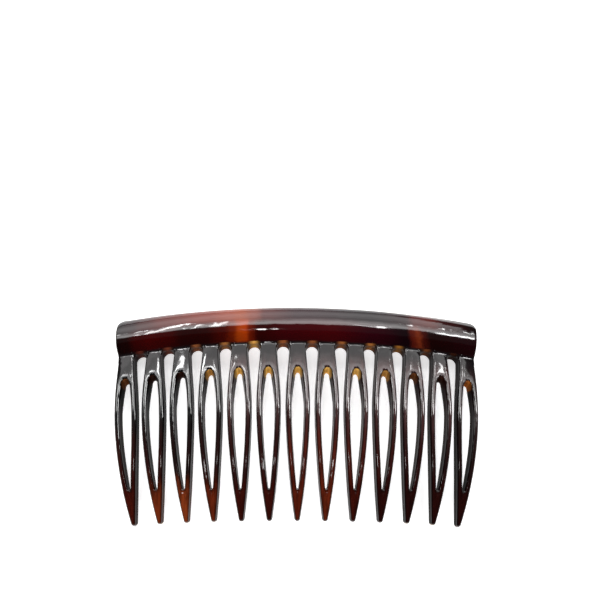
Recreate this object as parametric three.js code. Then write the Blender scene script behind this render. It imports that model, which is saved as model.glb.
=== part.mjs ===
// A side comb for the hair: a row of thirteen forked teeth under a rounded spine bar.
//
// The comb is drawn as a flat pattern and then curved. In the pattern u runs along the bar,
// v runs from the tips (negative) up to the bar (positive), and w is the height above the
// middle of the plate that the teeth are cut from. Curving wraps u round the head, bends v
// along the teeth, and sets the comb down on the ends of its bar and its outer tips.
//
// Millimetres. +X along the bar, +Y towards the bar, +Z up, convex side up, origin under
// the middle of the comb on the surface that it lies on.

import * as THREE from 'three';

// Rows and curves
const TOOTH_COUNT = 13;
const PITCH = 7.15;
const HEAD_RADIUS = 119.5;
const TOOTH_RADIUS = 79;
const BAR_BOW_RADIUS = 600;

// Heights in the pattern
const BAR_TOP = 20.1;
const JOINT = 9.15;
const TIP = -32.9;

// The plate that the teeth are cut from, flat behind and drafted towards the front
const PLATE = 2.4;
const TIP_PLATE = 1.7;
const LAND = 0.3;
const DRAFT = 0.4;

// The bar: its crest, the round face below it, and its rounded edges
const BAR_CREST = 4.1;
const BAR_CREST_AT = 17.8;
const BAR_FACE_RADIUS = 9.5;
const BAR_TOP_EDGE = 0.6;
const BAR_CORNER_RADIUS = 1.5;
const BAR_END_EASE = 0.6;
const CORNER_STEPS = 3;
const ARC_STEPS = 4;

// The scallops between the teeth stop just under the bar's round face
const SCALLOP_STEPS = 6;
const SCALLOP_CLEARANCE = 0.08;

// A tooth is two bowed limbs. The middle of a limb passes through these points,
// each given as [height, distance from the tooth's centre line].
const LIMB_WIDTH = 1.6;
const LIMB_LINE = [
  [JOINT, 1.32],
  [5.5, 1.6],
  [-0.5, 2.1],
  [-6.5, 2.24],
  [-14.5, 1.9],
  [-24.2, 1.06],
  [TIP + LIMB_WIDTH / 2, 0],
];
const LIMB_STEPS = 15;
const TIP_STEPS = 4;
const TIP_THINNING = 0.4;
const THINS_BELOW = -18;

// The slit between the limbs, with a round top that slopes towards the front. Its bottom
// rises a little from the middle tooth to the outer ones.
const SLIT_SHOULDER = 3.1;
const SLIT_BOTTOM = -24.9;
const SLIT_RISE = 1.3;
const SLIT_BOTTOM_RADIUS = 0.25;
const SLIT_TOP_SLOPE = 0.5;
const SLIT_STEPS = 11;
const SLIT_END_STEPS = 4;

// The outer teeth widen at the root to meet the ends of the bar
const END_FLARE = 0.25;
const END_FLARE_LENGTH = 12;

// Each tooth stops a hair short of the bar
const JOINT_GAP = 0.02;

// How closely the searches below settle, and the widest turn that one of them tries
const TOLERANCE = 1e-7;
const WIDEST_TURN = Math.PI / 8;

const BAR_COLOUR = '#3a0d0a';
const DARK_TOOTH_COLOUR = '#1d0e0d';
const WARM_TOOTH_COLOUR = '#3d150c';
const WARM_TEETH = [2, 3, 4, 7, 8];
const ROUGHNESS = 0.12;

const { clamp, lerp } = THREE.MathUtils;
const HALF_PLATE = PLATE / 2;
const HALF_LIMB = LIMB_WIDTH / 2;
const OUTER_TOOTH = (TOOTH_COUNT - 1) / 2;
const TAB_HALF_WIDTH = LIMB_LINE[0][1] + HALF_LIMB;
const SCALLOP_RADIUS = PITCH / 2 - TAB_HALF_WIDTH;
const BAR_HALF_LENGTH = OUTER_TOOTH * PITCH + TAB_HALF_WIDTH + END_FLARE;
const BAR_FACE_ANGLE = Math.acos(1 - (BAR_CREST - HALF_PLATE) / BAR_FACE_RADIUS);
const BAR_FOOT = BAR_CREST_AT - BAR_FACE_RADIUS * Math.sin(BAR_FACE_ANGLE);
const BAR_MIDDLE = (BAR_TOP + BAR_FOOT) / 2;

const limbLine = new THREE.SplineCurve(
  LIMB_LINE.map(([height, offset]) => new THREE.Vector2(height, offset)),
);

// Takes a point of the flat pattern to its place on the curved comb. The bar bows up in
// its middle, and the bow fades to nothing at the tips.
function curved(u, v, w) {
  const bowShare = clamp((v - TIP) / (BAR_FOOT - TIP), 0, 1);
  const bow = (bowShare * u * u) / (2 * BAR_BOW_RADIUS);
  const along = (v - bow) / TOOTH_RADIUS;
  const round = u / HEAD_RADIUS;
  const radius = HEAD_RADIUS - TOOTH_RADIUS + (TOOTH_RADIUS + w) * Math.cos(along);
  return new THREE.Vector3(
    radius * Math.sin(round),
    (TOOTH_RADIUS + w) * Math.sin(along),
    radius * Math.cos(round) - HEAD_RADIUS,
  );
}

// Moves every vertex of a geometry through a function that gives its pattern point.
function shaped(geometry, toPattern) {
  const position = geometry.attributes.position;
  for (let i = 0; i < position.count; i += 1) {
    const [u, v, w] = toPattern(position.getX(i), position.getY(i), position.getZ(i));
    const point = curved(u, v, w);
    position.setXYZ(i, point.x, point.y, point.z);
  }
  geometry.computeVertexNormals();
  return geometry;
}

// How far the middle of a limb stands from its tooth's centre line at a height.
function limbOffset(height) {
  let above = 0;
  let below = 1;
  while (below - above > TOLERANCE) {
    const middle = (above + below) / 2;
    if (limbLine.getPoint(middle).x > height) {
      above = middle;
    } else {
      below = middle;
    }
  }
  return limbLine.getPoint(above).y;
}

// The edge of a limb as points from one height to another, on the side of the limb
// that is half a limb's width away from its middle.
function limbEdge(side, away, from, to, steps) {
  const points = [];
  for (let i = 0; i <= steps; i += 1) {
    const height = lerp(from, to, i / steps);
    points.push(new THREE.Vector2(side * (limbOffset(height) + away * HALF_LIMB), height));
  }
  return points;
}

function arcPoints(centreHeight, radius, fromAngle, toAngle, steps) {
  const points = [];
  for (let i = 1; i < steps; i += 1) {
    const angle = lerp(fromAngle, toAngle, i / steps);
    points.push(
      new THREE.Vector2(radius * Math.cos(angle), centreHeight + radius * Math.sin(angle)),
    );
  }
  return points;
}

// One tooth in its own flat pattern: the outline of the fork and the slit in it.
function toothShape(place) {
  const tipCentre = TIP + HALF_LIMB;
  const outline = [
    ...limbEdge(-1, 1, JOINT, tipCentre, LIMB_STEPS),
    ...arcPoints(tipCentre, HALF_LIMB, Math.PI, 2 * Math.PI, TIP_STEPS),
    ...limbEdge(1, 1, tipCentre, JOINT, LIMB_STEPS),
  ];
  const topRadius = limbOffset(SLIT_SHOULDER) - HALF_LIMB;
  const rise = SLIT_RISE * (place / OUTER_TOOTH) ** 2;
  const bottomCentre = SLIT_BOTTOM + rise + SLIT_BOTTOM_RADIUS;
  const slit = [
    ...limbEdge(1, -1, bottomCentre, SLIT_SHOULDER, SLIT_STEPS),
    ...arcPoints(SLIT_SHOULDER, topRadius, 0, Math.PI, SLIT_END_STEPS),
    ...limbEdge(-1, -1, SLIT_SHOULDER, bottomCentre, SLIT_STEPS),
    ...arcPoints(bottomCentre, SLIT_BOTTOM_RADIUS, Math.PI, 2 * Math.PI, SLIT_END_STEPS),
  ];
  const shape = new THREE.Shape(outline);
  shape.holes.push(new THREE.Path(slit));
  return shape;
}

// The plate thins towards the tips and is rounded off at the very end.
function plateShare(v) {
  const thinning = lerp(TIP_PLATE / PLATE, 1, clamp((v - TIP) / (THINS_BELOW - TIP), 0, 1));
  const fromEnd = clamp((v - TIP) / HALF_LIMB, 0, 1);
  const rounding = Math.max(TIP_THINNING, Math.sqrt(1 - (1 - fromEnd) ** 2));
  return thinning * rounding;
}

// A tooth is extruded with one straight draft towards the front. The draft that the
// extrusion also makes behind is pressed flat, because the comb's back is flat.
function toothGeometry(index) {
  const place = index - OUTER_TOOTH;
  const geometry = new THREE.ExtrudeGeometry(toothShape(place), {
    depth: LAND,
    bevelSize: DRAFT,
    bevelOffset: -DRAFT,
    bevelThickness: PLATE - LAND,
    bevelSegments: 1,
  });
  return shaped(geometry, (x, y, z) => {
    const inFront = z > LAND;
    const isRoot = y > JOINT - 2 * DRAFT;
    const isSlitTop = y > SLIT_SHOULDER + DRAFT && Math.abs(x) < limbOffset(y) && !isRoot;
    let v = y;
    if (isRoot && z >= 0) {
      v = JOINT - JOINT_GAP;
    }
    if (isSlitTop && inFront) {
      v += SLIT_TOP_SLOPE;
    }
    const outward = Math.sign(place) * x > limbOffset(y);
    const isOuter = Math.abs(place) === OUTER_TOOTH && outward;
    const flareShare = clamp(1 - (JOINT - v) / END_FLARE_LENGTH, 0, 1);
    const flare = isOuter ? Math.sign(place) * END_FLARE * flareShare : 0;
    const w = (Math.max(z, 0) - HALF_PLATE) * plateShare(y);
    return [place * PITCH + x + flare, v, w];
  });
}

// The bar's section, drawn with v across and w up: flat behind, a long round face in
// front that rises from the teeth to a crest near the top, and a rounded top edge. Its
// two lowest points are the foot that the teeth grow from.
function barSection() {
  const points = [
    new THREE.Vector2(JOINT, -HALF_PLATE),
    new THREE.Vector2(JOINT, HALF_PLATE),
  ];
  for (let i = 0; i <= ARC_STEPS; i += 1) {
    const angle = BAR_FACE_ANGLE * (1 - i / ARC_STEPS);
    points.push(
      new THREE.Vector2(
        BAR_CREST_AT - BAR_FACE_RADIUS * Math.sin(angle),
        BAR_CREST - BAR_FACE_RADIUS * (1 - Math.cos(angle)),
      ),
    );
  }
  const reach = BAR_TOP - BAR_CREST_AT;
  const edge = BAR_TOP_EDGE - HALF_PLATE;
  for (let i = 1; i <= ARC_STEPS; i += 1) {
    const angle = (Math.PI / 2) * (i / ARC_STEPS);
    points.push(
      new THREE.Vector2(
        BAR_CREST_AT + reach * Math.sin(angle),
        edge + (BAR_CREST - edge) * Math.cos(angle),
      ),
    );
  }
  points.push(new THREE.Vector2(BAR_TOP, -HALF_PLATE));
  return new THREE.Shape(points);
}

// The places along the bar where its section is repeated. A station in a scallop
// between two teeth has the angle round that scallop.
function barStations() {
  const stations = [];
  for (let i = 0; i < CORNER_STEPS; i += 1) {
    const angle = (Math.PI / 2) * (i / CORNER_STEPS);
    const inset = BAR_CORNER_RADIUS * (1 - Math.cos(angle));
    stations.push({ u: inset - BAR_HALF_LENGTH });
  }
  for (let gap = 0.5 - OUTER_TOOTH; gap < OUTER_TOOTH; gap += 1) {
    for (let i = 0; i <= SCALLOP_STEPS; i += 1) {
      const angle = Math.PI * (1 - i / SCALLOP_STEPS);
      stations.push({ u: gap * PITCH + SCALLOP_RADIUS * Math.cos(angle), gap, angle });
    }
  }
  const otherEnd = stations.slice(0, CORNER_STEPS).map(({ u }) => ({ u: -u }));
  return [...stations, ...otherEnd.reverse()];
}

// The foot's own place at a station, where the scallops bite into it.
function footPoint(station, isFront) {
  if (station.angle === undefined) {
    return [station.u, JOINT];
  }
  const radius = SCALLOP_RADIUS + (isFront ? DRAFT : 0);
  const highest = BAR_FOOT - SCALLOP_CLEARANCE;
  return [
    station.gap * PITCH + radius * Math.cos(station.angle),
    Math.min(JOINT + radius * Math.sin(station.angle), highest),
  ];
}

// The bar's ends are rounded off at the upper corners and eased at the crest.
function barEnd(u, v, w) {
  const fromEnd = clamp((BAR_HALF_LENGTH - Math.abs(u)) / BAR_CORNER_RADIUS, 0, 1);
  const cut = 1 - Math.sqrt(1 - (1 - fromEnd) ** 2);
  const above = clamp((v - BAR_MIDDLE) / (BAR_TOP - BAR_MIDDLE), 0, 1);
  const proud = clamp((w - HALF_PLATE) / (BAR_CREST - HALF_PLATE), 0, 1);
  return [v - cut * BAR_CORNER_RADIUS * above, w - cut * BAR_END_EASE * proud];
}

function barGeometry() {
  const stations = barStations();
  const steps = stations.length - 1;
  const section = new THREE.ExtrudeGeometry(barSection(), {
    steps,
    depth: steps,
    bevelEnabled: false,
  });
  return shaped(section, (x, y, z) => {
    const station = stations[Math.round(z)];
    if (x < BAR_FOOT - SCALLOP_CLEARANCE) {
      const [u, v] = footPoint(station, y > 0);
      return [u, v, y];
    }
    return [station.u, ...barEnd(station.u, x, y)];
  });
}

function part(name, geometry, colour) {
  const material = new THREE.MeshStandardMaterial({
    color: colour,
    roughness: ROUGHNESS,
    metalness: 0,
  });
  const mesh = new THREE.Mesh(geometry, material);
  mesh.name = name;
  return mesh;
}

// The height of a geometry's lowest point when the comb is turned about X.
function lowestPoint(geometry, turn) {
  const position = geometry.attributes.position;
  let lowest = Infinity;
  for (let i = 0; i < position.count; i += 1) {
    const height = position.getY(i) * Math.sin(turn) + position.getZ(i) * Math.cos(turn);
    lowest = Math.min(lowest, height);
  }
  return lowest;
}

// The turn about X that brings the bar's ends down to the level of the outer tips.
function restingTurn(bar, outerTooth) {
  let low = -WIDEST_TURN;
  let high = WIDEST_TURN;
  while (high - low > TOLERANCE) {
    const middle = (low + high) / 2;
    if (lowestPoint(bar, middle) < lowestPoint(outerTooth, middle)) {
      low = middle;
    } else {
      high = middle;
    }
  }
  return low;
}

function comb() {
  const group = new THREE.Group();
  const bar = barGeometry();
  group.add(part('spine_bar', bar, BAR_COLOUR));
  let outerTooth;
  for (let index = 0; index < TOOTH_COUNT; index += 1) {
    const number = index + 1;
    const colour = WARM_TEETH.includes(number) ? WARM_TOOTH_COLOUR : DARK_TOOTH_COLOUR;
    const name = `tooth_${String(number).padStart(2, '0')}`;
    outerTooth = toothGeometry(index);
    group.add(part(name, outerTooth, colour));
  }
  group.rotation.x = restingTurn(bar, outerTooth);
  group.updateMatrixWorld(true);
  const box = new THREE.Box3().setFromObject(group, true);
  group.position.y = -(box.min.y + box.max.y) / 2;
  group.position.z = -box.min.z;
  return group;
}

export default comb();
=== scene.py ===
"""A tortoiseshell side comb, lying with its convex side up on a white table.

The comb is one moulding in thirteen forked teeth and a spine bar. Each of those is a
smooth height field, front and back, over a grid in the comb's flat pattern, which is then
curved. In the pattern u runs along the bar, v from the tips up to the bar, and w stands
out of the middle of the plate. All the numbers are millimetres until the meshes are made.
"""

import math

import bpy
import numpy as np
from mathutils import Matrix, Vector


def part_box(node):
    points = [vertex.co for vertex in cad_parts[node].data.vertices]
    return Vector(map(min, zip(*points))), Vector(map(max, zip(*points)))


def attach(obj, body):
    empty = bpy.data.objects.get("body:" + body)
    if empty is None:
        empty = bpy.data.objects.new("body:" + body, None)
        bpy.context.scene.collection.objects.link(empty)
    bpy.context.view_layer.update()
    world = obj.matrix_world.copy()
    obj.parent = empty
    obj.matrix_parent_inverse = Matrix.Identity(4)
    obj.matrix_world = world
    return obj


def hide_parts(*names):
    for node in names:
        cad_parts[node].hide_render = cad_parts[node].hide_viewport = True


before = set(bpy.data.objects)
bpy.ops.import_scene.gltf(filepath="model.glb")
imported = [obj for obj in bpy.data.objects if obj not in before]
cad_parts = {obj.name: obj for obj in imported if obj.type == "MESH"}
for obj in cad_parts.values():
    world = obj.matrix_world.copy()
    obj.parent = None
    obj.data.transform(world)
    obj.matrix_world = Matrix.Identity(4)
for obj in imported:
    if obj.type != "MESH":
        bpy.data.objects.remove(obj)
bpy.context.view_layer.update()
MM = 0.001

# The flat pattern, as the solids have it
TOOTH_COUNT = 13
MIDDLE_TOOTH = 6
PITCH = 7.15
HEAD_RADIUS = 119.5
TOOTH_RADIUS = 79.0
BAR_BOW_RADIUS = 600.0
BAR_TOP = 20.1
BAR_CREST = 4.1
BAR_CREST_AT = 17.8
BAR_FACE_RADIUS = 9.5
BAR_CORNER_RADIUS = 1.5
BAR_BACK_ROUND = 0.8
BAR_TOP_HEIGHT = 0.1
JOINT = 9.15
TIP = -32.9
HALF_PLATE = 1.2
TIP_SHARE = 0.71
THINS_BELOW = -18.0
HALF_LIMB = 0.8
LIMB_LINE = (
    (JOINT, 1.32),
    (5.5, 1.6),
    (-0.5, 2.1),
    (-6.5, 2.24),
    (-14.5, 1.9),
    (-24.2, 1.06),
    (TIP + HALF_LIMB, 0.0),
)
END_FLARE = 0.25
END_FLARE_LENGTH = 12.0
REST_TURN = math.radians(-3.9811)

# The slit of a tooth, whose outer ones end higher. Its roof slopes, its walls lean
# outwards to the front, and near its top it is narrower at the back
SLIT_SHOULDER = 2.7
SLIT_BOTTOM = -24.9
SLIT_RISE = 1.3
SLIT_ROOF_SLOPE = 0.6
SLIT_PINCH = 0.45
PINCHED_ABOVE = -4.0
WALL_LEAN_LEAST = 0.4
WALL_LEAN_FROM = -25.0
WALL_LEAN_LENGTH = 12.0
FLOOR_SHARPNESS = 0.3
GROOVE_DEPTH = 0.12
GROOVE_WIDTH = 0.32
GROOVE_LENGTH = 2.0
LIMB_ROUNDING = 0.3
LIMB_ROUNDING_LENGTH = 4.0

# The side of every piece, from its widest point up to the front face: how far in from
# the outline, and how high
EDGE_IN = np.array([0.0, 0.02, 0.07, 0.14, 0.19, 0.25, 0.33, 0.43, 0.56])
EDGE_UP = np.array([-1.05, -0.5, 0.2, 0.72, 0.92, 1.06, 1.14, 1.185, HALF_PLATE])
LEVELS = len(EDGE_IN)
RIM = float(EDGE_IN[-1])
BACK_ROUNDING = 0.15
CROWN = 0.05
CROWN_REACH = 0.5
FOOT_FILLET = 0.28
FILLET_FROM = EDGE_IN[4]
FILLET_GROWTH = 0.5
FILLET_LEAST = 0.05
SQUARE_ARCH = 5.0

# The bar's crest lies lower than its solid's, most so at the left
CREST_DROP = 0.75
CREST_DROP_SLOPE = 0.009
DROP_FROM = 10.5
DROP_RISE = 4.0
DROP_FALL = 3.8

# Along the bar: the faint waves of a polished moulding, the sunken line along its top
# edge at the right and the burr at its left corner
RIPPLE = 0.006
CREASE_DEPTH = 0.14
CREASE_WIDTH = 0.36
CREASE_AT = 19.2
CREASE_SLOPE = 0.05
CREASE_LEVEL_AT = 30.0
CREASE_FROM = 14.0
CREASE_GROWTH = 10.0
BURR = 0.26
BURR_AT = -43.3
BURR_WIDTH = 0.55
BURR_ABOVE = 19.2
BURR_RISE = 0.6

TAB_HALF_WIDTH = LIMB_LINE[0][1] + HALF_LIMB
SCALLOP_RADIUS = PITCH / 2 - TAB_HALF_WIDTH
BAR_HALF_LENGTH = MIDDLE_TOOTH * PITCH + TAB_HALF_WIDTH + END_FLARE
FACE_ANGLE = math.acos(1 - (BAR_CREST - HALF_PLATE) / BAR_FACE_RADIUS)
BAR_FOOT = BAR_CREST_AT - BAR_FACE_RADIUS * math.sin(FACE_ANGLE)


# ---------------------------------------------------------------- the curved comb


def curved(u, v, w):
    """Pattern points as points of the comb at rest, before it is set on the table."""
    share = np.clip((v - TIP) / (BAR_FOOT - TIP), 0, 1)
    along = (v - share * u * u / (2 * BAR_BOW_RADIUS)) / TOOTH_RADIUS
    turn = u / HEAD_RADIUS
    radius = HEAD_RADIUS - TOOTH_RADIUS + (TOOTH_RADIUS + w) * np.cos(along)
    x = radius * np.sin(turn)
    y = (TOOTH_RADIUS + w) * np.sin(along)
    z = radius * np.cos(turn) - HEAD_RADIUS
    c, s = math.cos(REST_TURN), math.sin(REST_TURN)
    return np.stack([x, y * c - z * s, y * s + z * c], -1)


def catmull(points, steps=60):
    """A smooth line through points."""
    p = np.array(points, float)
    ends = np.vstack([p[:1], p, p[-1:]])
    line = []
    for i in range(len(p) - 1):
        p0, p1, p2, p3 = ends[i : i + 4]
        t = np.linspace(0, 1, steps, endpoint=False)[:, None]
        v0, v1 = (p2 - p0) / 2, (p3 - p1) / 2
        a = 2 * p1 - 2 * p2 + v0 + v1
        b = -3 * p1 + 3 * p2 - 2 * v0 - v1
        line.append(((a * t + b) * t + v0) * t + p1)
    return np.vstack([*line, p[-1:]])


LIMB = catmull(LIMB_LINE)[::-1]


def limb_offset(v):
    """How far the middle of a limb stands from its tooth's centre line."""
    return np.interp(v, LIMB[:, 0], LIMB[:, 1])


def edge_height(inset):
    """The height of the front at a distance in from the outline."""
    crown = CROWN * (1 - np.exp(-np.maximum(inset - EDGE_IN[-1], 0) / CROWN_REACH))
    return np.interp(inset, EDGE_IN, EDGE_UP) + crown


def quarter(share):
    """A quarter round that climbs from 0 to 1, steeply at first."""
    return np.sqrt(1 - (1 - np.clip(share, 0, 1)) ** 2)


def ease(share):
    """0 to 1, smooth at both ends."""
    share = np.clip(share, 0, 1)
    return share**2 * (3 - 2 * share)


def back_height(inset):
    """The height of the back at a distance in from the outline."""
    return -HALF_PLATE + (EDGE_UP[0] + HALF_PLATE) * (1 - quarter(inset / BACK_ROUNDING))


def risen(inset):
    """How far up the side of a piece is, from 0 at its widest to 1 at its front."""
    return (edge_height(inset) - EDGE_UP[0]) / (HALF_PLATE - EDGE_UP[0])


def settled(u, v):
    """Where the bar's section is read, for a crest that lies lower to the left."""
    window = ease((v - DROP_FROM) / DROP_RISE) * ease((BAR_TOP - v) / DROP_FALL)
    return v + (CREST_DROP - CREST_DROP_SLOPE * u) * window


def bar_face(at):
    """The height of the bar's front: a long round face, then a rounded top edge."""
    below = np.maximum(BAR_FACE_RADIUS**2 - (BAR_CREST_AT - at) ** 2, 0.01)
    face = BAR_CREST - BAR_FACE_RADIUS + np.sqrt(below)
    above = np.clip((at - BAR_CREST_AT) / (BAR_TOP - BAR_CREST_AT), 0, 1)
    top = BAR_TOP_HEIGHT + (BAR_CREST - BAR_TOP_HEIGHT) * np.sqrt(1 - above**2)
    return np.where(at < BAR_CREST_AT, face, top)


def smooth_max(a, b, reach):
    """The higher of two heights, with a fillet where they cross."""
    h = np.clip(0.5 + (b - a) / (2 * reach), 0, 1)
    return a * (1 - h) + b * h + reach * h * (1 - h)


# ---------------------------------------------------------------- meshes

WELD = 0.0004
TOLERANCE = 1e-6


def grid_faces(rows, cols, first=0, flip=False):
    """Quads of a grid whose points are numbered row by row from first."""
    k, i = np.meshgrid(np.arange(rows - 1), np.arange(cols - 1), indexing="ij")
    a = first + k * cols + i
    quads = np.stack([a, a + cols, a + cols + 1, a + 1], -1).reshape(-1, 4)
    return quads[:, ::-1] if flip else quads


class Skin:
    """Collects grids of pattern points into one closed mesh.

    Every point also has how much light shows through it and its distance in from the edge.
    """

    def __init__(self):
        self.points, self.faces, self.clear, self.inset = [], [], [], []
        self.flat, self.is_cap, self.count = [], [], 0

    def add(self, u, v, w, clear, inset=1.0, flip=False, flat=False):
        """One grid. A flat one is a cap, which shares no points with the others."""
        rows, cols = u.shape
        self.flat += [flat] * ((rows - 1) * (cols - 1))
        self.is_cap += [flat] * (rows * cols)
        self.points.append(np.stack([u, v, w], -1).reshape(-1, 3))
        self.clear.append(np.broadcast_to(clear, u.shape).reshape(-1))
        self.inset.append(np.broadcast_to(inset, u.shape).reshape(-1))
        self.faces.append(grid_faces(rows, cols, self.count, flip))
        self.count += rows * cols

    def cap(self, u, back, front, flip):
        """A flat face on the plane where the teeth meet the bar."""
        joint = np.full((2, len(u)), JOINT)
        self.add(np.stack([u, u]), joint, np.stack([back, front]), 0.0, flip=flip, flat=True)

    def weld(self):
        """The points that remain when equal ones are one, and the faces on them."""
        points = np.vstack(self.points)
        key = np.column_stack([np.round(points / WELD).astype(np.int64), self.is_cap])
        _, first, same = np.unique(key, axis=0, return_index=True, return_inverse=True)
        corners = same.reshape(-1)[np.vstack(self.faces)]
        on_joint = np.abs(points[first, 1] - JOINT) < TOLERANCE
        polygons, smooth = [], []
        for face, flat in zip(corners.tolist(), self.flat):
            ring = list(dict.fromkeys(face))
            if len(ring) > 2 and (flat or not on_joint[ring].all()):
                polygons.append(ring)
                smooth.append(not flat)
        return points[first], first, polygons, smooth

    def build(self, name, shift):
        """The welded and curved mesh, as one object in metres."""
        points, first, polygons, smooth = self.weld()
        placed = (curved(*points.T) + shift) * MM
        mesh = bpy.data.meshes.new(name)
        mesh.from_pydata(placed.tolist(), [], polygons)
        pattern = mesh.attributes.new("pattern", "FLOAT_VECTOR", "POINT")
        pattern.data.foreach_set("vector", points.astype(np.float32).ravel())
        for attribute, values in (("clear", self.clear), ("inset", self.inset)):
            layer = mesh.attributes.new(attribute, "FLOAT", "POINT")
            layer.data.foreach_set("value", np.concatenate(values)[first].astype(np.float32))
        mesh.polygons.foreach_set("use_smooth", smooth)
        mesh.validate()
        mesh.update()
        piece = bpy.data.objects.new(name, mesh)
        bpy.context.collection.objects.link(piece)
        return piece


def steps(count):
    """0 to 1 in count even steps."""
    return np.linspace(0, 1, count + 1)


# ---------------------------------------------------------------- a tooth


# Where a tooth's rows meet its outline: above the slit's top, below its shoulder and
# below the middle of its floor
OUTLINE_ABOVE_ROOF = 0.7
OUTLINE_BELOW_SHOULDER = 0.2
OUTLINE_BELOW_FLOOR = 0.5
ACROSS = np.array([0.2, 0.4, 0.58, 0.74, 0.86, 0.94, 1.0])
FLOOR_TRIES = 20

TIP_CENTRE = TIP + HALF_LIMB
TIP_END_SHARE = 0.32
TIP_ROUNDING = 1.6 * HALF_LIMB

# The light that shows in the slit's roof: how far across, how far down, and how far up
# the wall it fades
ROOF_GLOW_ACROSS = 0.85
ROOF_GLOW_DOWN = 0.9
ROOF_GLOW_FADE = 0.3


def pinch(v):
    """How much narrower the slit is at the back than at the front, near its top."""
    share = (v - PINCHED_ABOVE) / (SLIT_SHOULDER - PINCHED_ABOVE)
    return SLIT_PINCH * min(max(share, 0.0), 1.0)


def wall_lean(v):
    """How far the slit's wall leans outwards, less near its bottom."""
    share = min(max((v - WALL_LEAN_FROM) / WALL_LEAN_LENGTH, 0.0), 1.0)
    return WALL_LEAN_LEAST + (1 - WALL_LEAN_LEAST) * share


class Slit:
    """The slit of a tooth: a round roof, walls along the limbs and a round floor.

    Its line moves with the distance in from its edge, so each of its points is a
    function of that distance.
    """

    def __init__(self, place):
        self.roof_radius = float(limb_offset(SLIT_SHOULDER)) - HALF_LIMB
        self.roof_top = SLIT_SHOULDER + self.roof_radius
        bottom = SLIT_BOTTOM + SLIT_RISE * (place / MIDDLE_TOOTH) ** 2
        self.floor_radius = 0.25
        for _ in range(FLOOR_TRIES):
            self.floor_radius = float(limb_offset(bottom + self.floor_radius)) - HALF_LIMB
        self.floor_centre = bottom + self.floor_radius
        self.roof_front = self.point("roof", 0.0, RIM)[1]
        self.floor_front = self.point("floor", 0.0, RIM)[1]

    def point(self, kind, value, inset):
        """A point of the roof or the floor at an angle, or of a wall at a height."""
        share = risen(inset)
        if kind == "roof":
            across = self.roof_radius + inset - pinch(SLIT_SHOULDER) * (1 - share)
            up = self.roof_radius + inset + SLIT_ROOF_SLOPE * share
            return across * math.sin(value), SLIT_SHOULDER + up * math.cos(value)
        if kind == "limb":
            wall = float(limb_offset(value)) - HALF_LIMB + inset * wall_lean(value)
            return wall - pinch(value) * (1 - share), value
        down = self.floor_radius + FLOOR_SHARPNESS * inset
        across = self.floor_radius + inset * wall_lean(self.floor_centre)
        return across * math.sin(value), self.floor_centre - down * math.cos(value)

    def distance(self, u, v):
        """How far points of the front are from the slit."""
        roof_centre = self.roof_front - self.roof_radius - RIM
        to_roof = np.hypot(u, v - roof_centre) - self.roof_radius
        to_floor = np.hypot(u, v - self.floor_centre) - self.floor_radius
        to_side = np.abs(u - (limb_offset(v) - HALF_LIMB))
        lower = np.where(v < self.floor_centre, to_floor, to_side)
        return np.where(v > SLIT_SHOULDER, to_roof, lower)


def tooth_rows(slit):
    """The rows of half a tooth from its root to its tip.

    A row has its kind, a share, angle or height that places its inner end, and the
    height of its outer end.
    """
    top = slit.roof_top + OUTLINE_ABOVE_ROOF
    shoulder = SLIT_SHOULDER - OUTLINE_BELOW_SHOULDER
    floor = slit.floor_centre - OUTLINE_BELOW_FLOOR
    rows = [("tab", a, JOINT + (top - JOINT) * a) for a in steps(12)]
    rows += [("roof", a * math.pi / 2, top + (shoulder - top) * a) for a in steps(10)]
    for a in steps(54)[1:]:
        v = SLIT_SHOULDER + (slit.floor_centre - SLIT_SHOULDER) * a
        rows.append(("limb", v, v - OUTLINE_BELOW_SHOULDER * (1 - a)))
    for a in steps(5)[1:]:
        rows.append(("floor", (1 - a) * math.pi / 2, slit.floor_centre - OUTLINE_BELOW_FLOOR * a))
    rows += [("below", a, floor + (TIP_CENTRE - floor) * a) for a in steps(14)]
    rows += [("tip", a * math.pi / 2, TIP_CENTRE) for a in steps(8)[1:]]
    return rows


def outline_points(kind, value, v):
    """The points of a row from the outline in to the rim of the front."""
    if kind == "tip":
        reach = HALF_LIMB - EDGE_IN
        return np.stack([reach * math.cos(value), TIP_CENTRE - reach * math.sin(value)], -1)
    return np.stack([limb_offset(v) + HALF_LIMB - EDGE_IN, np.full(LEVELS, v)], -1)


def inner_end(slit, kind, value, rim_v):
    """The last point of a row, on the tooth's centre line or on the slit."""
    if kind == "tab":
        return 0.0, JOINT + (slit.roof_front - JOINT) * value
    if kind == "below":
        return 0.0, slit.floor_front + (TIP_CENTRE - slit.floor_front) * value
    if kind == "tip":
        return 0.0, rim_v
    return slit.point(kind, value, RIM)


def front_insets(slit, u, v, is_open):
    """The distance in from the outline or the slit, whichever is nearer."""
    span = np.hypot(u - u[:, LEVELS - 1 : LEVELS], v - v[:, LEVELS - 1 : LEVELS])
    to_slit = slit.distance(u, v)
    to_slit[is_open, -1] = RIM
    inset = np.minimum(RIM + span, np.maximum(to_slit, RIM))
    inset[:, :LEVELS] = EDGE_IN
    return inset


def half_tooth(slit):
    """The front of half a tooth and the wall of its slit, each as u, v and inset."""
    front, wall, is_open = [], [], []
    for kind, value, v in tooth_rows(slit):
        outline = outline_points(kind, value, v)
        rim = outline[-1]
        end = np.array(inner_end(slit, kind, value, rim[1]))
        front.append(np.vstack([outline, rim + (end - rim) * ACROSS[:, None]]))
        is_open.append(kind in ("roof", "limb", "floor"))
        if is_open[-1]:
            wall.append([slit.point(kind, value, float(inset)) for inset in EDGE_IN[::-1]])
    u, v = np.moveaxis(np.array(front), -1, 0)
    wall_u, wall_v = np.moveaxis(np.array(wall), -1, 0)
    wall_inset = np.tile(EDGE_IN[::-1], (len(wall), 1))
    return (u, v, front_insets(slit, u, v, is_open)), (wall_u, wall_v, wall_inset)


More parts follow.
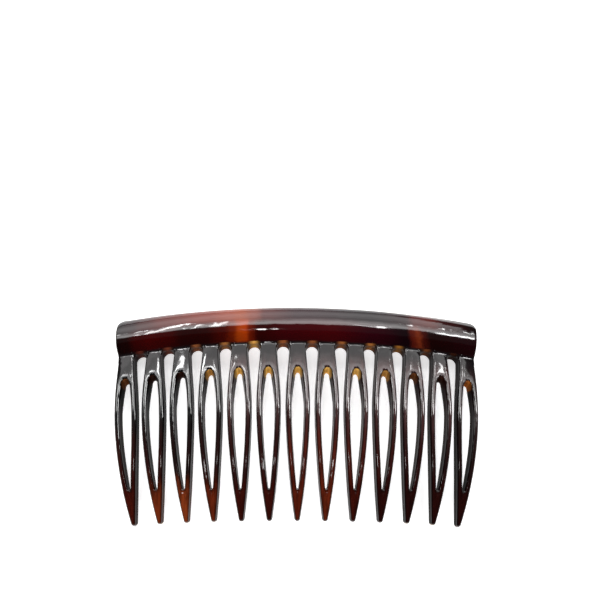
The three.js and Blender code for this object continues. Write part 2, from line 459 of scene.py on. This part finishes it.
def plate_share(v):
    """How thick the plate is, thinner towards the tip and rounded off at its end."""
    thinning = TIP_SHARE + (1 - TIP_SHARE) * np.clip((v - TIP) / (THINS_BELOW - TIP), 0, 1)
    return thinning * (TIP_END_SHARE + (1 - TIP_END_SHARE) * quarter((v - TIP) / TIP_ROUNDING))


def limb_rounding(v, inset):
    """How much a limb's front falls away towards its edges."""
    share = np.clip((SLIT_SHOULDER + 1 - v) / LIMB_ROUNDING_LENGTH, 0, 1)
    near_edge = np.clip(1 - inset / HALF_LIMB, 0, 1)
    return share * LIMB_ROUNDING * near_edge**2 * risen(inset)


def groove(slit, u, v):
    """The valley that runs on from the bottom of the slit."""
    below = np.clip(slit.floor_front - v, 0, None)
    depth = GROOVE_DEPTH * np.exp(-((u / GROOVE_WIDTH) ** 2)) * np.exp(-below / GROOVE_LENGTH)
    return depth * (v < slit.floor_front + 0.01)


def tooth_front(slit, u, v, inset):
    """The height of a tooth's front."""
    return (edge_height(inset) - limb_rounding(v, inset)) * plate_share(v) - groove(slit, u, v)


def tooth_back(v, inset):
    """The height of a tooth's back."""
    return back_height(inset) * plate_share(v)


def roof_glow(u, v, inset):
    """How much light shows through the wall of the slit, at its roof."""
    steep = np.clip((1 - inset / RIM - ROOF_GLOW_FADE) / ROOF_GLOW_FADE, 0, 1)
    high = np.clip((v - (SLIT_SHOULDER - ROOF_GLOW_DOWN)) / ROOF_GLOW_DOWN, 0, 1)
    return steep * high * np.exp(-((u / ROOF_GLOW_ACROSS) ** 2))


def along_bar(place, side, u, v):
    """Where points of half a tooth lie along the bar. The outer teeth flare at the root."""
    outer = np.sign(place) * (abs(place) == MIDDLE_TOOTH)
    edge_share = np.clip((side * np.sign(place) * u - limb_offset(v)) / HALF_LIMB, 0, 1)
    root_share = np.clip(1 - (JOINT - v) / END_FLARE_LENGTH, 0, 1)
    return place * PITCH + side * u + outer * END_FLARE * root_share * edge_share


def build_tooth(index, shift):
    """One tooth, from two halves and the face at its root."""
    place = index - MIDDLE_TOOTH
    slit = Slit(place)
    front, wall = half_tooth(slit)
    skin = Skin()
    for side in (1, -1):
        for (u, v, inset), clear in ((front, 0.0), (wall, roof_glow(*wall))):
            across = along_bar(place, side, u, v)
            skin.add(across, v, tooth_front(slit, u, v, inset), clear, inset, flip=side > 0)
            skin.add(across, v, tooth_back(v, inset), clear, inset, flip=side < 0)
        u, v, inset = (values[0] for values in front)
        root = along_bar(place, side, u, v)
        skin.cap(root, tooth_back(v, inset), tooth_front(slit, u, v, inset), flip=side > 0)
    return skin.build(f"tortoiseshell_tooth_{index + 1:02d}", shift)


# ---------------------------------------------------------------- the bar


FOOT_STATIONS = 6
BURR_STATIONS = 24
SCALLOP_STATIONS = 25
EVEN_ROWS_FROM = 12.4
FACE_FROM = BAR_FOOT - 0.6
FACE_ONLY_FROM = BAR_CREST_AT - 4
NOWHERE = -9.0
WAVES_FROM = BAR_FOOT + 0.5
WAVES_GROWTH = 1.5
SCALLOP_GLOW_ACROSS = 0.9


def bar_stations():
    """Places along the bar.

    Each has u at the foot and, in a gap between teeth, the gap's middle and the angle
    round its scallop.
    """
    reach = SCALLOP_RADIUS + RIM
    end = BAR_HALF_LENGTH - RIM
    stations = [(-BAR_HALF_LENGTH + inset, None, None) for inset in EDGE_IN[:-1]]
    left = -end
    for gap in np.arange(0.5 - MIDDLE_TOOTH, MIDDLE_TOOTH):
        centre = gap * PITCH
        count = BURR_STATIONS if gap < 1 - MIDDLE_TOOTH else FOOT_STATIONS
        stations += [(u, None, None) for u in np.linspace(left, centre - reach, count)[:-1]]
        for across in np.sin(np.linspace(-1, 1, SCALLOP_STATIONS) * math.pi / 2):
            angle = math.acos(math.copysign(abs(across) ** (SQUARE_ARCH / 2), across))
            stations.append((centre + reach * across, centre, angle))
        left = centre + reach
    stations += [(u, None, None) for u in np.linspace(left, end, FOOT_STATIONS)[1:]]
    stations += [(BAR_HALF_LENGTH - inset, None, None) for inset in EDGE_IN[-2::-1]]
    return stations


def arch(angle, inset):
    """A scallop's outline: round at the back of the comb, squarer towards the front."""
    power = 2 + (SQUARE_ARCH - 2) * float(risen(inset))
    radius = SCALLOP_RADIUS + inset
    across = abs(math.cos(angle)) ** (2 / power)
    up = abs(math.sin(angle)) ** (2 / power)
    return math.copysign(radius * across, math.cos(angle)), radius * up


def bar_grid(stations):
    """u and v of the bar's points, up from its foot at each station."""
    top = BAR_CREST_AT + (BAR_TOP - BAR_CREST_AT) * np.sin(steps(14)[1:] * math.pi / 2)
    upper = EVEN_ROWS_FROM + (BAR_CREST_AT - EVEN_ROWS_FROM) * steps(14)[1:]
    u, v = [], []
    for station_u, centre, angle in stations:
        if centre is None:
            foot_u, foot_v = np.full(LEVELS, station_u), np.full(LEVELS, JOINT)
        else:
            foot_u, foot_v = np.array([arch(angle, inset) for inset in EDGE_IN]).T
            foot_u, foot_v = centre + foot_u, JOINT + foot_v
        lower = foot_v[-1] + (EVEN_ROWS_FROM - foot_v[-1]) * steps(8)[1:]
        v.append(np.concatenate([foot_v, lower, upper, top]))
        u.append(np.concatenate([foot_u, np.full(len(v[-1]) - LEVELS, station_u)]))
    return np.array(u), np.array(v)


def bar_insets(u, v, in_gap):
    """How far the bar's points are in from the nearest scallop, or from its ends."""
    outermost = MIDDLE_TOOTH - 0.5
    gap = np.clip(np.round(u / PITCH - 0.5) + 0.5, -outermost, outermost) * PITCH
    reach = np.abs(u - gap) ** SQUARE_ARCH + np.abs(v - JOINT) ** SQUARE_ARCH
    to_scallop = reach ** (1 / SQUARE_ARCH) - SCALLOP_RADIUS
    inset = np.minimum(to_scallop, np.maximum(BAR_HALF_LENGTH - np.abs(u), RIM))
    inset[:, :LEVELS] = np.where(in_gap, EDGE_IN, inset[:, :LEVELS])
    return inset


def ripple(u, v):
    """The faint unevenness of a polished moulding."""
    wave = np.sin(u * 0.61 + 0.9) * np.sin(v * 0.8 + u * 0.11 + 1.3)
    wave += 0.6 * np.sin(u * 1.37 - 0.7) * np.sin(v * 1.1 - u * 0.2)
    wave += 0.5 * np.sin(u * 0.27 + 2.1)
    return RIPPLE * wave


def crease(u, v):
    """A sunken line that slants down from the top edge, over the bar's right part."""
    line = np.exp(-(((v - CREASE_AT + CREASE_SLOPE * (u - CREASE_LEVEL_AT)) / CREASE_WIDTH) ** 2))
    return CREASE_DEPTH * line * np.clip((u - CREASE_FROM) / CREASE_GROWTH, 0, 1)


def bar_front(u, v, inset):
    """The height of the bar's front: its foot, a fillet and its round face."""
    rise = np.clip(risen(np.maximum(inset, 0)), 0, 1)
    plate = np.maximum(edge_height(np.maximum(inset, 0)), HALF_PLATE)
    face = np.where(v > FACE_FROM, bar_face(settled(u, v)), NOWHERE)
    fillet = FOOT_FILLET * np.clip((inset - FILLET_FROM) / FILLET_GROWTH, FILLET_LEAST, 1)
    front = EDGE_UP[0] + (smooth_max(plate, face, fillet) - EDGE_UP[0]) * rise
    face_only = np.maximum(face, plate * (v < BAR_CREST_AT))
    front = np.where(v > FACE_ONLY_FROM, face_only, front)
    on_face = np.clip((v - WAVES_FROM) / WAVES_GROWTH, 0, 1) * np.clip(BAR_TOP - v, 0, 1)
    return front + (ripple(u, v) - crease(u, v)) * on_face


def bar_back(v, inset, in_gap):
    """The height of the bar's back: flat, rounded at the scallops and along the top."""
    at_scallop = in_gap & (v < BAR_FOOT + 1)
    back = back_height(np.where(at_scallop, inset, BACK_ROUNDING))
    top = 1 - quarter((BAR_TOP - v) / BAR_BACK_ROUND)
    return back + (BAR_TOP_HEIGHT + HALF_PLATE) * top


def round_ends(v, to_end, front, back):
    """The two heights, drawn in to meet where the bar ends."""
    toward_top = np.clip((v - BAR_CREST_AT) / (BAR_TOP - BAR_CREST_AT), 0, 1)
    edge = EDGE_UP[0] + (BAR_TOP_HEIGHT - EDGE_UP[0]) * toward_top
    rise = np.interp(to_end, EDGE_IN, (EDGE_UP - EDGE_UP[0]) / (HALF_PLATE - EDGE_UP[0]))
    return edge + (front - edge) * rise, edge + (back - edge) * quarter(to_end / BACK_ROUNDING)


def round_corners(u, v, to_end):
    """v with the bar's upper corners rounded off, and the burr on the left one."""
    cut = BAR_CORNER_RADIUS * (1 - quarter(to_end / BAR_CORNER_RADIUS))
    middle = (BAR_TOP + BAR_FOOT) / 2
    v = v - cut * np.clip((v - middle) / (BAR_TOP - middle), 0, 1)
    burr = BURR * np.exp(-(((u - BURR_AT) / BURR_WIDTH) ** 2))
    return v + burr * np.clip((v - BURR_ABOVE) / BURR_RISE, 0, 1)


def scallop_glow(u, stations, in_gap):
    """How much light shows through the walls of the scallops."""
    centre = np.array([[0.0 if at is None else at] for _, at, _ in stations])
    glow = np.zeros_like(u)
    off = np.abs((u[:, :LEVELS] - centre) / SCALLOP_GLOW_ACROSS)
    glow[:, :LEVELS] = np.where(in_gap, np.exp(-(off**2.6)), 0)
    return glow


def build_bar(shift):
    """The spine bar, with a scallop between every two teeth."""
    stations = bar_stations()
    in_gap = np.array([[centre is not None] for _, centre, _ in stations])
    u, v = bar_grid(stations)
    inset = bar_insets(u, v, in_gap)
    to_end = BAR_HALF_LENGTH - np.abs(u)
    front, back = round_ends(v, to_end, bar_front(u, v, inset), bar_back(v, inset, in_gap))
    v = round_corners(u, v, to_end)
    inset = np.clip(inset, 0, 1)
    skin = Skin()
    skin.add(u, v, front, scallop_glow(u, stations, in_gap), inset)
    skin.add(u, v, back, 0.0, inset, flip=True)
    foot_caps(skin, stations, u, back, front)
    return skin.build("tortoiseshell_bar", shift)


def foot_caps(skin, stations, u, back, front):
    """Closes the foot of the bar above each tooth."""
    lines = np.stack([u, back, front])[:, :, :LEVELS]
    run = []
    for k, (_, centre, angle) in enumerate(stations):
        if centre is None:
            run.append(lines[:, k, :1])
        elif math.isclose(angle, math.pi):
            skin.cap(*np.hstack([*run, lines[:, k, ::-1]]), flip=True)
        elif math.isclose(angle, 0, abs_tol=TOLERANCE):
            run = [lines[:, k]]
    skin.cap(*np.hstack(run), flip=True)


# ---------------------------------------------------------------- material


def node(tree, kind, inputs=(), **settings):
    """A node with its settings, and its inputs as values or other nodes' outputs."""
    n = tree.nodes.new(kind)
    for key, value in settings.items():
        setattr(n, key, value)
    for key, value in dict(inputs).items():
        if isinstance(value, bpy.types.NodeSocket):
            tree.links.new(value, n.inputs[key])
        else:
            n.inputs[key].default_value = value
    return n


def math_node(tree, operation, a, b=0.0, clamp=False):
    return node(tree, "ShaderNodeMath", {0: a, 1: b}, operation=operation, use_clamp=clamp).outputs[0]


def step_node(tree, value, low, high):
    """0 below low, 1 above high, smooth between."""
    n = node(tree, "ShaderNodeMapRange", {0: value, 1: low, 2: high, 3: 0.0, 4: 1.0})
    n.interpolation_type = "SMOOTHSTEP"
    return n.outputs[0]


def blend(tree, share, a, b):
    n = node(tree, "ShaderNodeMix", data_type="RGBA")
    for key, value in ((0, share), (6, a), (7, b)):
        if isinstance(value, bpy.types.NodeSocket):
            tree.links.new(value, n.inputs[key])
        elif key == 0:
            n.inputs[key].default_value = value
        else:
            n.inputs[key].default_value = (*value, 1.0)
    return n.outputs[2]


def new_material(name):
    material = bpy.data.materials.new(name)
    material.use_nodes = True
    tree = material.node_tree
    tree.nodes.clear()
    out = tree.nodes.new("ShaderNodeOutputMaterial")
    shader = tree.nodes.new("ShaderNodeBsdfPrincipled")
    tree.links.new(shader.outputs[0], out.inputs[0])
    return material, tree, shader


BLACK = (0.005, 0.0035, 0.004)
# Painted glow: amber and gold stand in for light showing through the thin roofs of the slits
AMBER_GLOW = (0.62, 0.30, 0.07)
GOLD_GLOW = (1.0, 0.56, 0.13)


def pattern_axes(tree):
    pattern = node(tree, "ShaderNodeAttribute", attribute_name="pattern").outputs["Vector"]
    split = node(tree, "ShaderNodeSeparateXYZ", {0: pattern}).outputs
    return pattern, split[0], split[1]


def amount(tree, attribute):
    """One of the meshes' own values: clear or inset."""
    return node(tree, "ShaderNodeAttribute", attribute_name=attribute).outputs["Fac"]


def noise(tree, vector, scale, detail=2.0, rough=0.5, distortion=0.0):
    inputs = {"Vector": vector, "Scale": scale, "Detail": detail}
    inputs |= {"Roughness": rough, "Distortion": distortion}
    return node(tree, "ShaderNodeTexNoise", inputs).outputs[0]


def stretched(tree, pattern, scale):
    """The pattern's points, scaled."""
    return node(tree, "ShaderNodeMapping", {"Vector": pattern, "Scale": scale}).outputs[0]


def finish_gloss(tree, shader, pattern, inset, clear):
    """A polished moulding: fine haze in the gloss, a barely wavy surface and duller sides."""
    haze = noise(tree, pattern, 0.9, 4.0, 0.6)
    side = step_node(tree, inset, 0.20, 0.06)
    rough = node(tree, "ShaderNodeMapRange", {0: haze, 1: 0.3, 2: 0.7, 3: 0.05, 4: 0.10}).outputs[0]
    rough = math_node(tree, "ADD", rough, math_node(tree, "MULTIPLY", side, 0.3))
    tree.links.new(rough, shader.inputs["Roughness"])
    gloss = node(tree, "ShaderNodeMapRange", {0: side, 1: 0.0, 2: 1.0, 3: 0.5, 4: 0.06}).outputs[0]
    lit_through = math_node(tree, "SUBTRACT", 1.0, math_node(tree, "MULTIPLY", clear, 0.85))
    gloss = math_node(tree, "MULTIPLY", gloss, lit_through)
    tree.links.new(gloss, shader.inputs["Specular IOR Level"])
    wave = noise(tree, pattern, 0.35, 1.0, 0.4)
    fine = noise(tree, pattern, 3.0, 2.0, 0.5)
    height = math_node(tree, "ADD", wave, math_node(tree, "MULTIPLY", fine, 0.012))
    bump = node(tree, "ShaderNodeBump", {"Strength": 0.4, "Distance": 0.00015, "Height": height})
    tree.links.new(bump.outputs[0], shader.inputs["Normal"])


def ramp(tree, value, stops):
    """Colours at places along a value, blended between."""
    n = tree.nodes.new("ShaderNodeValToRGB")
    n.color_ramp.interpolation = "EASE"
    low, high = stops[0][0], stops[-1][0]
    tree.links.new(step_line(tree, value, low, high), n.inputs[0])
    points = n.color_ramp.elements
    for k, (place, colour) in enumerate(stops):
        at = (place - low) / (high - low)
        point = points[k] if k < 2 else points.new(at)
        point.position = at
        point.color = (*colour, 1.0)
    return n.outputs[0]


def step_line(tree, value, low, high):
    return node(tree, "ShaderNodeMapRange", {0: value, 1: low, 2: high, 3: 0.0, 4: 1.0}).outputs[0]


# The bar's colours along it, near its top edge and over its lower half
BAR_UPPER = (
    (-45.5, (0.004, 0.003, 0.004)),
    (-41.0, (0.015, 0.006, 0.008)),
    (-38.0, (0.040, 0.012, 0.012)),
    (-33.0, (0.080, 0.018, 0.016)),
    (-22.0, (0.140, 0.030, 0.022)),
    (-17.0, (0.190, 0.045, 0.028)),
    (-13.5, (0.210, 0.048, 0.022)),
    (-10.6, (0.150, 0.040, 0.028)),
    (-8.0, (0.060, 0.016, 0.016)),
    (0.0, (0.020, 0.006, 0.009)),
    (18.0, (0.005, 0.002, 0.003)),
    (26.5, (0.012, 0.002, 0.003)),
    (29.4, (0.060, 0.014, 0.014)),
    (33.0, (0.070, 0.016, 0.014)),
    (37.0, (0.020, 0.004, 0.004)),
    (45.5, (0.004, 0.002, 0.002)),
)
BAR_LOWER = (
    (-45.5, (0.003, 0.000, 0.000)),
    (-42.2, (0.006, 0.000, 0.000)),
    (-39.6, (0.024, 0.000, 0.000)),
    (-36.0, (0.032, 0.000, 0.000)),
    (-32.0, (0.027, 0.000, 0.000)),
    (-27.5, (0.011, 0.000, 0.000)),
    (-22.5, (0.012, 0.000, 0.000)),
    (-18.2, (0.035, 0.001, 0.000)),
    (-15.9, (0.090, 0.006, 0.000)),
    (-14.3, (0.250, 0.029, 0.001)),
    (-12.7, (0.270, 0.028, 0.001)),
    (-11.4, (0.090, 0.005, 0.000)),
    (-9.4, (0.018, 0.000, 0.000)),
    (-2.0, (0.030, 0.000, 0.001)),
    (8.0, (0.036, 0.000, 0.001)),
    (18.0, (0.016, 0.000, 0.002)),
    (26.0, (0.004, 0.000, 0.001)),
    (27.4, (0.060, 0.005, 0.002)),
    (29.0, (0.110, 0.015, 0.004)),
    (30.4, (0.030, 0.002, 0.001)),
    (32.0, (0.006, 0.000, 0.000)),
    (45.5, (0.008, 0.000, 0.001)),
)


# Where the bar's colours change over: black at the foot, then lower, then upper
FOOT_TO_LOWER = (10.9, 11.5)
LOWER_TO_UPPER = (14.6, 16.4)


def bar_material():
    material, tree, shader = new_material("tortoiseshell_bar")
    pattern, u, v = pattern_axes(tree)
    stretch = stretched(tree, pattern, (0.5, 1.0, 1.0))
    wobble = math_node(tree, "SUBTRACT", noise(tree, stretch, 0.30, 4.0, 0.55, 0.6), 0.5)
    along = math_node(tree, "ADD", u, math_node(tree, "MULTIPLY", wobble, 2.2))
    slant = math_node(tree, "MULTIPLY", math_node(tree, "SUBTRACT", v, 15.5), 0.32)
    right_side = step_node(tree, u, 10.0, 20.0)
    along = math_node(tree, "ADD", along, math_node(tree, "MULTIPLY", slant, right_side))
    upper = ramp(tree, along, BAR_UPPER)
    lower = ramp(tree, along, BAR_LOWER)
    colour = blend(tree, step_node(tree, v, *LOWER_TO_UPPER), lower, upper)
    colour = blend(tree, step_node(tree, v, *FOOT_TO_LOWER), BLACK, colour)
    clear = amount(tree, "clear")
    # Painted light: where light would show through the scallops' walls, the colour turns to their
    # amber glow
    colour = blend(tree, clear, colour, ramp(tree, u, SCALLOP_GLOW_COLOURS))
    tree.links.new(colour, shader.inputs["Base Color"])
    inset = amount(tree, "inset")
    finish_gloss(tree, shader, pattern, inset, clear)
    return material


# Where a tooth's colours change over, downwards
BLACK_TO_ROOT = (JOINT, JOINT - 4.5)
ROOT_TO_MIDDLE = (-4.0, -16.0)
MIDDLE_TO_END = (-19.0, -28.0)
END_TO_TIP_GLOW = (-32.2, -32.8)


def tortoise(strength):
    """Tortoiseshell from maroon-black to a light red-brown."""
    return (0.003 + 0.19 * strength, 0.001 + 0.036 * strength**1.5, 0.001 + 0.007 * strength**1.6)


def tooth_material(index):
    material, tree, shader = new_material(f"tortoiseshell_tooth_{index + 1:02d}")
    pattern, u, v = pattern_axes(tree)
    inset = amount(tree, "inset")
    clear = amount(tree, "clear")
    wobble = math_node(tree, "SUBTRACT", noise(tree, pattern, 0.3, 3.0), 0.5)
    down = math_node(tree, "ADD", v, math_node(tree, "MULTIPLY", wobble, 7.0))
    middle, end = tortoise(MIDDLES[index]), tortoise(ENDS[index])
    root = tuple(0.004 + share * ROOTS[index] for share in (0.25, 0.08, 0.08))
    colour = blend(tree, step_node(tree, v, *BLACK_TO_ROOT), BLACK, root)
    colour = blend(tree, step_node(tree, down, *ROOT_TO_MIDDLE), colour, middle)
    colour = blend(tree, step_node(tree, down, *MIDDLE_TO_END), colour, end)
    # The lighter streaks are the shell's own pattern. They fade out towards the sides, which stay at
    # the dark tone: painted shade along the sides
    streaks = noise(tree, stretched(tree, pattern, (2.2, 0.35, 1.0)), 0.6, 3.0)
    streaks = step_node(tree, streaks, 0.12, 0.62)
    core = math_node(tree, "MULTIPLY", step_node(tree, inset, 0.15, 0.8), streaks)
    streaks_and_side_shade = blend(tree, core, (0.22, 0.22, 0.22), (1.25, 1.25, 1.25))
    mix = {"data_type": "RGBA", "blend_type": "MULTIPLY"}
    colour = node(tree, "ShaderNodeMix", {0: 1.0, 6: colour, 7: streaks_and_side_shade}, **mix).outputs[2]
    # Painted light: the very tip turns pale or dull, as light shows at the thin end
    colour = blend(tree, step_node(tree, v, *END_TO_TIP_GLOW), colour, TIP_GLOWS[index])
    # Painted light: where light would show through the slit's roof, a dim rim and then the roof's
    # glow colour replace the shell's colour
    rim = tuple(0.3 * c for c in SLIT_ROOF_GLOWS[index])
    colour = blend(tree, step_node(tree, clear, 0.1, 0.4), colour, rim)
    colour = blend(tree, step_node(tree, clear, 0.45, 0.8), colour, SLIT_ROOF_GLOWS[index])
    tree.links.new(colour, shader.inputs["Base Color"])
    finish_gloss(tree, shader, pattern, inset, clear)
    return material


# How brown each tooth is at its root, half-way down and at its end, then the painted glow of light
# showing through its slit's roof, and the painted light at its very tip
ROOTS = (0.0, 0.0, 0.0, 0.02, 0.12, 0.10, 0.10, 0.10, 0.12, 0.12, 0.12, 0.12, 0.05)
MIDDLES = (0.08, 0.06, 0.02, 0.04, 0.06, 0.07, 0.22, 0.25, 0.17, 0.09, 0.06, 0.04, 0.03)
ENDS = (0.16, 0.55, 0.75, 0.42, 0.12, 0.11, 0.28, 0.38, 0.13, 0.06, 0.04, 0.05, 0.04)
DIM_ROOF_GLOW = (0.03, 0.008, 0.004)
BROWN_ROOF_GLOW = (0.16, 0.05, 0.014)
SLIT_ROOF_GLOWS = (
    BROWN_ROOF_GLOW, DIM_ROOF_GLOW, DIM_ROOF_GLOW, AMBER_GLOW, GOLD_GLOW, GOLD_GLOW, GOLD_GLOW,
    GOLD_GLOW, GOLD_GLOW, AMBER_GLOW, BROWN_ROOF_GLOW, DIM_ROOF_GLOW, (0.42, 0.12, 0.02),
)
# Painted light at the tips: pale where a tip lights up, dull where it does not
PALE_TIP_GLOW, DULL_TIP_GLOW = (0.55, 0.45, 0.34), (0.12, 0.07, 0.05)
TIP_GLOWS = (DULL_TIP_GLOW, PALE_TIP_GLOW, PALE_TIP_GLOW, PALE_TIP_GLOW, DULL_TIP_GLOW, DULL_TIP_GLOW, DULL_TIP_GLOW, DULL_TIP_GLOW, DULL_TIP_GLOW, DULL_TIP_GLOW, PALE_TIP_GLOW, PALE_TIP_GLOW, DULL_TIP_GLOW)
# The scallops' walls along the bar: the amber of the thin plastic, lit up by painted light showing
# through it
SCALLOP_GLOW_COLOURS = (
    (-45.5, (0.06, 0.010, 0.006)),
    (-39.3, (0.10, 0.020, 0.012)),
    (-32.2, (0.17, 0.040, 0.020)),
    (-25.0, (0.28, 0.090, 0.030)),
    (-17.9, (0.40, 0.150, 0.040)),
    (-13.0, (0.70, 0.330, 0.080)),
    (-9.0, (0.85, 0.420, 0.090)),
    (-3.6, (0.34, 0.100, 0.030)),
    (3.6, (0.30, 0.090, 0.028)),
    (17.9, (0.36, 0.130, 0.030)),
    (25.0, (0.30, 0.120, 0.020)),
    (32.2, (0.14, 0.040, 0.012)),
    (39.3, (0.03, 0.008, 0.004)),
    (45.5, (0.02, 0.004, 0.002)),
)


# ---------------------------------------------------------------- the scene


FLOOR_GLOW = 0.6
WORLD_LIGHT = 0.03


def floor_material():
    material, tree, shader = new_material("white_table")
    coords = node(tree, "ShaderNodeTexCoord").outputs["Object"]
    tone = noise(tree, coords, 6.0, 3.0)
    colour = blend(tree, tone, (0.86, 0.86, 0.865), (0.9, 0.9, 0.9))
    tree.links.new(colour, shader.inputs["Base Color"])
    shader.inputs["Roughness"].default_value = 0.9
    shader.inputs["Specular IOR Level"].default_value = 0.1
    shader.inputs["Emission Color"].default_value = (1, 1, 1, 1)
    shader.inputs["Emission Strength"].default_value = FLOOR_GLOW
    return material


TABLE_HALF = 3.0


def build_floor():
    mesh = bpy.data.meshes.new("table")
    r = TABLE_HALF
    mesh.from_pydata([(-r, -r, 0), (r, -r, 0), (r, r, 0), (-r, r, 0)], [], [(0, 1, 2, 3)])
    table = bpy.data.objects.new("table", mesh)
    bpy.context.collection.objects.link(table)
    mesh.materials.append(floor_material())


CAMERA_AT = (-0.0152, -0.0825, 0.4998)
CAMERA_AIM = (0.00056, 0.0282, 0.0116)
CAMERA_UP = (-0.0051, 0.9863, 0.1649)
CAMERA_LENS = 122.1


def build_camera():
    data = bpy.data.cameras.new("camera")
    data.lens = CAMERA_LENS
    data.clip_start = 0.01
    camera = bpy.data.objects.new("camera", data)
    bpy.context.collection.objects.link(camera)
    camera.location = CAMERA_AT
    face_square(camera, CAMERA_AIM, CAMERA_UP)
    bpy.context.scene.camera = camera


def face_square(thing, target, up):
    """Points a camera or a light at a target, with its own +Y as near to up as can be."""
    back = (thing.location - Vector(target)).normalized()
    up = (Vector(up) - back * back.dot(Vector(up))).normalized()
    thing.rotation_mode = "QUATERNION"
    thing.rotation_quaternion = Matrix((up.cross(back), up, back)).transposed().to_quaternion()


def sky(toward_right, toward_bar, distance):
    """A place seen from the comb, in degrees off the vertical to the right and to the bar."""
    way = Vector((math.tan(math.radians(toward_right)), math.tan(math.radians(toward_bar)), 1.0))
    return way.normalized() * distance


def lamp(name, size, radiance, at, target, up):
    """A rectangle of light."""
    data = bpy.data.lights.new(name, "AREA")
    data.shape = "RECTANGLE"
    data.size, data.size_y = size
    data.energy = radiance * math.pi * size[0] * size[1]
    light = bpy.data.objects.new(name, data)
    bpy.context.collection.objects.link(light)
    light.location = at
    face_square(light, target, up)


def softbox_strip(name, low, high, left, right, radiance):
    """A strip of the softbox. It is long in X, and its edges are in degrees off the vertical."""
    left, right = (LIGHT_DISTANCE * math.tan(math.radians(side)) for side in (left, right))
    size = (right - left, LIGHT_DISTANCE * math.radians(high - low))
    middle = Vector(((left + right) / 2, 0, 0))
    lamp(name, size, radiance, middle + sky(0, (low + high) / 2, LIGHT_DISTANCE), middle, (0, 1, 0))


def tube(name, start, end, thickness, radiance):
    """A thin bright lamp in front of the softbox, from one direction to another."""
    a, b = sky(*start, TUBE_DISTANCE), sky(*end, TUBE_DISTANCE)
    size = (TUBE_DISTANCE * math.radians(thickness), (b - a).length)
    lamp(name, size, radiance, (a + b) / 2, (0, 0, 0), b - a)


LIGHT_DISTANCE = 1.3
TUBE_DISTANCE = 1.2

# Each strip's low, high, left and right edges, and its radiance
SOFTBOX = (
    (-20, 12.4, -50, 52, 0.08),
    (12.4, 16, -50, 52, 5.0),
    (16, 22, -50, 52, 6.0),
    (22, 27, -50, 52, 4.0),
    (27, 31, -50, 52, 2.3),
    (31, 36, -50, 50, 1.8),
    (36, 42, -48, 44, 2.4),
    (42, 49, -46, 40, 2.9),
    (49, 56, -46, 35, 2.9),
    (56, 66, -44, 29, 2.4),
    (66, 84, -42, 22, 1.5),
)

# Each tube's two ends, its thickness in degrees and its radiance
TUBES = (
    ((-37.8, 13), (-31, 33), 2.2, 24),
    ((-25.5, 14), (-24, 25), 2.1, 32),
    ((-19.9, 15), (-18.7, 29), 1.8, 26),
    ((38, 13.5), (50, 15.5), 3.8, 34),
    ((21.8, 13.2), (24.5, 12.6), 4.5, 40),
    ((16.5, 14.5), (20.5, 13.5), 1.0, 20),
    ((-8, -12.5), (-5, -11.8), 6.0, 40),
    ((-29.8, 33.5), (-32.3, 26.5), 2.6, 34),
    ((43, 34), (42, 28.5), 1.6, 30),
    ((48.8, 35), (50, 30), 1.0, 28),
    ((33, 32), (34, 27), 1.2, 26),
    ((-40.5, 28.5), (-39.5, 26), 2.0, 30),
    ((-48, 30), (-47, 28), 1.8, 26),
)


def light_scene():
    bpy.context.scene.view_settings.view_transform = "Standard"
    world = bpy.data.worlds.new("studio")
    bpy.context.scene.world = world
    world.use_nodes = True
    background = world.node_tree.nodes["Background"]
    background.inputs[0].default_value = (1, 1, 1, 1)
    background.inputs[1].default_value = WORLD_LIGHT
    for number, strip in enumerate(SOFTBOX):
        softbox_strip(f"softbox_{number + 1}", *strip)
    for number, lit in enumerate(TUBES):
        tube(f"tube_{number + 1}", *lit)


# ---------------------------------------------------------------- put together


def resting_shift():
    """How far to move the turned comb, so that it stands where its solids do."""
    ends = [-BAR_HALF_LENGTH, 0.0, BAR_HALF_LENGTH]
    corners = np.meshgrid(ends, [JOINT, BAR_TOP], [-HALF_PLATE])
    solid = curved(*(axis.ravel() for axis in corners))
    bar_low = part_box("spine_bar")[0]
    return np.array([0.0, bar_low[1] / MM - solid[:, 1].min(), -solid[:, 2].min()])


SHIFT = resting_shift()

bar = build_bar(SHIFT)
bar.data.materials.append(bar_material())
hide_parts("spine_bar")
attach(bar, "root")
pieces = [bar]
for index in range(TOOTH_COUNT):
    tooth = build_tooth(index, SHIFT)
    pieces.append(tooth)
    tooth.data.materials.append(tooth_material(index))
    name = f"tooth_{index + 1:02d}"
    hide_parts(name)
    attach(tooth, "root")

lowest = min(v.co.z for piece in pieces for v in piece.data.vertices)
for piece in pieces:
    piece.data.transform(Matrix.Translation((0, 0, -lowest)))

build_floor()
build_camera()
light_scene()
